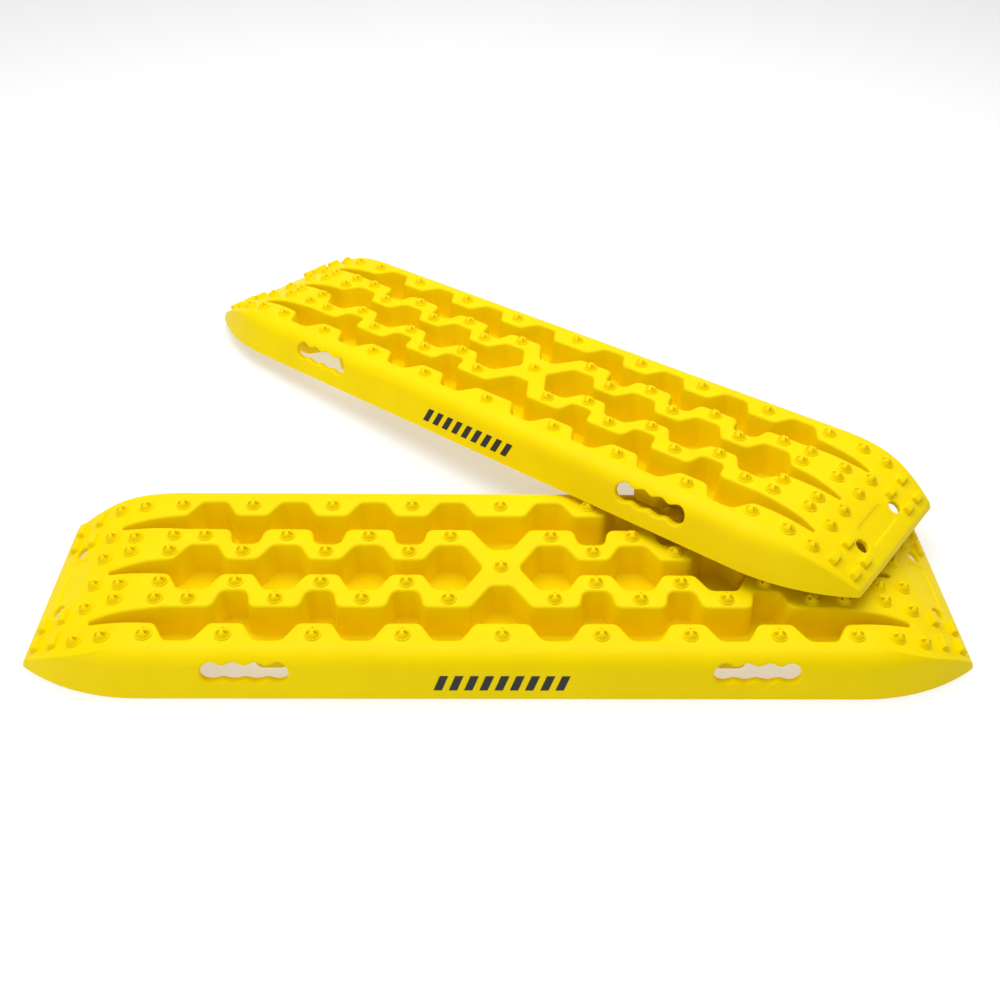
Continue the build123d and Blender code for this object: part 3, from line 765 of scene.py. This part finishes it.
def make_piece(name, points, faces, board, sharp=40.0):
    """A mesh object from board millimetres, laid where its board lies and riding on it."""
    mesh = bpy.data.meshes.new(name)
    place = np.array(PLACES[board])
    laid = np.asarray(points) @ place[:3, :3].T + place[:3, 3]
    mesh.from_pydata(laid.tolist(), [], faces)
    body = bmesh.new()
    body.from_mesh(mesh)
    bmesh.ops.remove_doubles(body, verts=body.verts, dist=0.02 * MM)
    bmesh.ops.dissolve_degenerate(body, dist=0.005 * MM, edges=body.edges)
    bmesh.ops.recalc_face_normals(body, faces=body.faces)
    open_edges = sum(1 for edge in body.edges if len(edge.link_faces) != 2)
    body.to_mesh(mesh)
    body.free()
    mesh.shade_smooth()
    mesh.set_sharp_from_angle(angle=math.radians(sharp))
    piece = bpy.data.objects.new(name, mesh)
    bpy.context.scene.collection.objects.link(piece)
    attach(piece, board + "_board")
    print(name, len(mesh.vertices), "points,", open_edges, "open edges")
    return piece


MEMBERS = [f"{side}_{member}_{end}" for side in ("front", "rear") for member in ("rail", "handle", "rib")
           for end in ("left", "right")]
MEMBERS += ["ramp_left", "ramp_right", "centre_cross", "front_channel_floor", "rear_channel_floor"]
MEMBERS += ["middle_channel_floors"]
mould_points, mould_faces = moulding()
mouldings = {}
for board in PLACES:
    mouldings[board] = make_piece(board + "_moulding", mould_points, mould_faces, board)
    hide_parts(*[f"{board}_{member}" for member in MEMBERS])

# %% [markdown]
# ## Grip studs
# Seventy-nine studs stand on each board. A stud is a low dome on a round foot, with three small
# triangular pockets that give its top a sharp three-legged edge. A polar grid of heights makes the
# dome and its pockets in one go, and each stud is then set square to the deck or the ramp under it.

# %% Grip studs
STUD_RADIUS = 9.5
DOME_RADIUS = 7.7
DOME_TOP = 8.0
DOME_SHAPE = (2.6, 0.62)        # powers that make the dome fuller than a ball
STUD_RING = 1.6
RING_FLAT = 8.9         # the foot's ring is flat up to here, and falls by this much at its rim
RING_DROP = 0.9
STUD_ROOT = 3.0         # how far a stud or a cleat reaches down into the board
POCKET_FLOOR = 2.6
POCKET_POINT = 1.9      # a pocket's point and its far side, from the stud's axis
POCKET_END = 6.3
POCKET_EDGE = (0.35, 0.8)       # how far outside its outline a pocket begins, and its edge's run
LAST_STUD = RAMP_START - 6.0
RAIL_STUDS = 105.0      # the stud rows, across the board
RIB_INNER_STUDS = 25.0
RIB_OUTER_STUDS = 51.0
RAMP_STUDS = ((434.7, (105.0, 50.0, 26.7)), (465.7, (105.6, 57.4, 21.3)))


def smooth_step(value):
    value = np.clip(value, 0.0, 1.0)
    return value**2 * (3 - 2 * value)


def stud_mesh():
    """One stud's points and faces, standing on the origin."""
    radii = np.concatenate([np.arange(0.6, 7.6, 0.5), [7.6, 7.9, 8.3, 8.9, 9.25, 9.42, STUD_RADIUS]])
    turn = np.linspace(0, 2 * math.pi, 61)[:-1]
    r, angle = np.meshgrid(radii, turn, indexing="ij")
    rise = np.maximum(1 - (r / DOME_RADIUS)**DOME_SHAPE[0], 0)**DOME_SHAPE[1]
    dome = STUD_RING + (DOME_TOP - STUD_RING) * rise
    foot = STUD_RING - RING_DROP * smooth_step((r - RING_FLAT) / (STUD_RADIUS - RING_FLAT))
    height = np.where(r < DOME_RADIUS, dome, foot)
    sunk = np.zeros_like(height)
    for facing in (90, 210, 330):
        out = r * np.cos(angle - math.radians(facing))
        side = np.abs(r * np.sin(angle - math.radians(facing)))
        distance = np.maximum(out - POCKET_END, side * 0.86 - (out - POCKET_POINT) * 0.5)
        sunk = np.maximum(sunk, smooth_step((POCKET_EDGE[0] - distance) / POCKET_EDGE[1]))
    height = height * (1 - sunk) + np.minimum(height, POCKET_FLOOR) * sunk
    height = np.where(r < DOME_RADIUS, height, foot)
    points = np.column_stack([(r * np.cos(angle)).ravel(), (r * np.sin(angle)).ravel(), height.ravel()])
    rows, count = r.shape
    faces = [[row * count + i, (row + 1) * count + i, (row + 1) * count + (i + 1) % count,
              row * count + (i + 1) % count] for row in range(rows - 1) for i in range(count)]
    base = len(points)
    ring = np.column_stack([STUD_RADIUS * np.cos(turn), STUD_RADIUS * np.sin(turn),
                            np.full(count, -STUD_ROOT)])
    points = np.vstack([points, ring, [[0, 0, DOME_TOP], [0, 0, -STUD_ROOT]]])
    outer = (rows - 1) * count
    for i in range(count):
        after = (i + 1) % count
        faces.append([outer + i, base + i, base + after, outer + after])
        faces.append([base + count, i, after])
        faces.append([base + count + 1, base + after, base + i])
    return points, faces


def on_top(points, along, across):
    """Lay points on the deck or ramp, square to the surface under them."""
    past = max(abs(along) - RAMP_START, 0.0)
    lean = math.asin(past / RAMP_RADIUS) * (1 if along > 0 else -1)
    turn = np.array([[math.cos(lean), 0, math.sin(lean)], [0, 1, 0], [-math.sin(lean), 0, math.cos(lean)]])
    return points @ turn.T + np.array([along, across, DECK - float(ramp_drop(along))])


def stud_places():
    """Each row's places, named as the CAD rows are."""
    inner = [FIRST_BULGE + (step + 0.5) * PITCH for step in range(BULGES - 1)] + [LAST_STUD]
    outer = [FIRST_BULGE + step * PITCH for step in range(BULGES)] + [LAST_STUD]
    rows = {"centre_stud": [(0.0, 0.0)]}
    for sy, side in ((-1, "front"), (1, "rear")):
        rail = [(0.0, sy * RAIL_STUDS)]
        rail += [(sx * along, sy * RAIL_STUDS) for along in inner for sx in (-1, 1)]
        rib = [(sx * along, sy * RIB_INNER_STUDS) for along in inner for sx in (-1, 1)]
        rib += [(sx * along, sy * RIB_OUTER_STUDS) for along in outer for sx in (-1, 1)]
        rows[side + "_rail_studs"] = rail
        rows[side + "_rib_studs"] = rib
    for sx, side in ((-1, "left"), (1, "right")):
        rows["ramp_studs_" + side] = [(sx * along, sy * across) for along, row in RAMP_STUDS
                                      for across in row for sy in (-1, 1)]
    return rows


def gather(pattern, places):
    """Copies of a small mesh at many places, as one set of points and faces."""
    points, faces = [], []
    for index, (along, across) in enumerate(places):
        points.append(on_top(pattern[0], along, across))
        faces += [[corner + index * len(pattern[0]) for corner in face] for face in pattern[1]]
    return np.vstack(points), faces


STUD = stud_mesh()
studs = []
for board in PLACES:
    for row, places in stud_places().items():
        points, faces = gather(STUD, places)
        piece = make_piece(f"{board}_{row}_detail", points, faces, board, sharp=32.0)
        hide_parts(f"{board}_{row}")
        studs.append(piece)
print("studs on a board", sum(len(places) for places in stud_places().values()))

# %% [markdown]
# ## Bar cleats
# Near each end, four pairs of low bars bite first when the wheel climbs on. They are small drafted
# blocks with rounded tops, made by bevelling a box that narrows upwards.

# %% Bar cleats
CLEAT_ROWS = ((491.6, (62.0, 98.0)), (516.0, (64.5, 92.0)))
CLEAT_LENGTH = 10.0
CLEAT_WIDTH = 20.0
CLEAT_HEIGHT = 6.0
CLEAT_ROUND = 1.3
CLEAT_TOP = (0.84, 0.9, CLEAT_HEIGHT)       # shares of length and width left at a level
CLEAT_FOOT = (1.04, 1.02, -STUD_ROOT)


def cleat_mesh():
    """One cleat's points and faces, standing on the origin."""
    body = bmesh.new()
    bmesh.ops.create_cube(body, size=1.0)
    for corner in body.verts:
        along, across, level = CLEAT_TOP if corner.co.z > 0 else CLEAT_FOOT
        corner.co = Vector((corner.co.x * CLEAT_LENGTH * along, corner.co.y * CLEAT_WIDTH * across, level))
    bmesh.ops.bevel(body, geom=list(body.edges), offset=CLEAT_ROUND, segments=4, profile=0.5,
                    affect="EDGES")
    body.verts.index_update()
    points = np.array([tuple(corner.co) for corner in body.verts])
    faces = [[corner.index for corner in face.verts] for face in body.faces]
    body.free()
    return points, faces


CLEAT = cleat_mesh()
cleats = []
for board in PLACES:
    for sign, side in ((-1, "left"), (1, "right")):
        places = [(sign * along, sy * across) for along, row in CLEAT_ROWS
                  for across in row for sy in (-1, 1)]
        points, faces = gather(CLEAT, places)
        piece = make_piece(f"{board}_ramp_cleats_{side}_detail", points, faces, board)
        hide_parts(f"{board}_ramp_cleats_{side}")
        cleats.append(piece)

# %% [markdown]
# ## Materials
# The boards are moulded from polypropylene coloured right through. Under soft light it is a clear warm
# yellow with a satin surface. Light that bounces from wall to wall inside a channel loses its green a
# little each time, so the channels turn orange by themselves.

# %% Material helpers


def linear(code):
    """A colour's sRGB hex value as linear red, green, blue and alpha."""
    parts = [int(code[i:i + 2], 16) / 255 for i in (1, 3, 5)]
    return (*(part / 12.92 if part <= 0.04045 else ((part + 0.055) / 1.055)**2.4 for part in parts), 1.0)


def add_node(material, kind, settings=None, links=None):
    """Add a node, set its sockets or properties by name, and link outputs into its inputs."""
    node = material.node_tree.nodes.new(kind)
    for name, value in (settings or {}).items():
        if name in node.inputs:
            node.inputs[name].default_value = value
        else:
            setattr(node, name, value)
    for name, output in (links or {}).items():
        material.node_tree.links.new(output, node.inputs[name])
    return node


def new_material(name):
    material = bpy.data.materials.new(name)
    material.use_nodes = True
    material.node_tree.nodes.clear()
    return material


# %% Yellow polypropylene
GRAIN = 0.9 * MM        # a fine spark-eroded mould grain, drawn a little coarser so that it shows
FLOW = 60.0 * MM        # slow variation where the melt flowed
WAVE = 14.0 * MM        # faint unevenness of a shrunken wall
FILM = 4.0 * MM         # unevenness of an ink film


def moulded_polypropylene():
    """Satin injection-moulded polypropylene, coloured through."""
    material = new_material("moulded_polypropylene_yellow")
    place = add_node(material, "ShaderNodeTexCoord").outputs["Object"]
    flow = add_node(material, "ShaderNodeTexNoise", {"Scale": 1 / FLOW, "Detail": 3.0}, {"Vector": place})
    tint = add_node(material, "ShaderNodeValToRGB", links={"Fac": flow.outputs["Fac"]})
    tint.color_ramp.elements[0].position = 0.3
    tint.color_ramp.elements[0].color = linear("#F8DA00")
    tint.color_ramp.elements[1].position = 0.7
    tint.color_ramp.elements[1].color = linear("#FCE000")
    grain = add_node(material, "ShaderNodeTexNoise", {"Scale": 1 / GRAIN, "Detail": 2.0}, {"Vector": place})
    wave = add_node(material, "ShaderNodeTexNoise", {"Scale": 1 / WAVE, "Detail": 1.0}, {"Vector": place})
    satin = add_node(material, "ShaderNodeMapRange", {"To Min": 0.34, "To Max": 0.46},
                     {"Value": wave.outputs["Fac"]})
    shrink = add_node(material, "ShaderNodeBump", {"Strength": 0.25, "Distance": 0.15 * MM},
                      {"Height": wave.outputs["Fac"]})
    bump = add_node(material, "ShaderNodeBump", {"Strength": 0.22, "Distance": 0.05 * MM},
                    {"Height": grain.outputs["Fac"], "Normal": shrink.outputs["Normal"]})
    shader = add_node(material, "ShaderNodeBsdfPrincipled", {"IOR": 1.49, "Specular IOR Level": 0.07},
                      {"Base Color": tint.outputs["Color"], "Roughness": satin.outputs["Result"],
                       "Normal": bump.outputs["Normal"]})
    add_node(material, "ShaderNodeOutputMaterial", links={"Surface": shader.outputs["BSDF"]})
    return material


yellow = moulded_polypropylene()
for piece in list(mouldings.values()) + studs + cleats:
    piece.data.materials.clear()
    piece.data.materials.append(yellow)

# %% Printing ink


def printing_ink():
    """Black pad-printing ink, a thin film that is a little glossier than the plastic."""
    material = new_material("pad_printing_ink_black")
    place = add_node(material, "ShaderNodeTexCoord").outputs["Object"]
    film = add_node(material, "ShaderNodeTexNoise", {"Scale": 1 / FILM, "Detail": 3.0}, {"Vector": place})
    gloss = add_node(material, "ShaderNodeMapRange", {"To Min": 0.38, "To Max": 0.55},
                     {"Value": film.outputs["Fac"]})
    shader = add_node(material, "ShaderNodeBsdfPrincipled", {"Base Color": linear("#1A1712"), "IOR": 1.5},
                      {"Roughness": gloss.outputs["Result"]})
    add_node(material, "ShaderNodeOutputMaterial", links={"Surface": shader.outputs["BSDF"]})
    return material


ink = printing_ink()
for board in PLACES:
    mark = frame["nodes"][board + "_print_mark"]
    mark.data.materials.clear()
    mark.data.materials.append(ink)

# %% [markdown]
# ## Floor and light
# The boards stand on a plain light table: white acrylic that glows a little from below, so that its
# shadows stay pale and the ground still looks light through the hand slots. A big soft light overhead
# and a weak one from the front keep the light even.

# %% Floor and light
FLOOR_REACH = 8.0
FLOOR_CLEARANCE = 0.3 * MM
floor_mesh = bpy.data.meshes.new("floor")
floor_corners = [(x * FLOOR_REACH, y * FLOOR_REACH, 0.0) for x, y in ((-1, -1), (1, -1), (1, 1), (-1, 1))]
floor_mesh.from_pydata(floor_corners, [], [(0, 1, 2, 3)])
floor = bpy.data.objects.new("floor", floor_mesh)
floor.location.z = cad_box[0][2] - FLOOR_CLEARANCE
bpy.context.scene.collection.objects.link(floor)
acrylic = new_material("light_table_acrylic")
acrylic_shader = add_node(acrylic, "ShaderNodeBsdfPrincipled", {
    "Base Color": linear("#CBCBCB"), "Roughness": 0.9, "Emission Color": linear("#FFFFFF"),
    "Emission Strength": 0.43})
add_node(acrylic, "ShaderNodeOutputMaterial", links={"Surface": acrylic_shader.outputs["BSDF"]})
floor_mesh.materials.append(acrylic)


def soft_light(name, place, size, power):
    """A rectangular light that faces the middle of the boards."""
    light = bpy.data.objects.new(name, bpy.data.lights.new(name, "AREA"))
    light.data.shape = "RECTANGLE"
    light.data.size, light.data.size_y = size
    light.data.energy = power
    light.location = place
    light.rotation_euler = (-Vector(place)).to_track_quat("-Z", "Y").to_euler()
    bpy.context.scene.collection.objects.link(light)


soft_light("overhead", (0.0, 0.4, 2.2), (3.0, 2.4), 61.0)
soft_light("front", (-1.6, -2.2, 0.8), (2.0, 1.4), 13.0)
world = bpy.data.worlds.new("studio")
world.use_nodes = True
sky = world.node_tree.nodes["Background"]
sky.inputs["Color"].default_value = (1.0, 1.0, 1.0, 1.0)
sky.inputs["Strength"].default_value = 0.32
bpy.context.scene.world = world
bpy.context.scene.view_settings.view_transform = "Standard"

# %% Update the scene
bpy.context.view_layer.update()
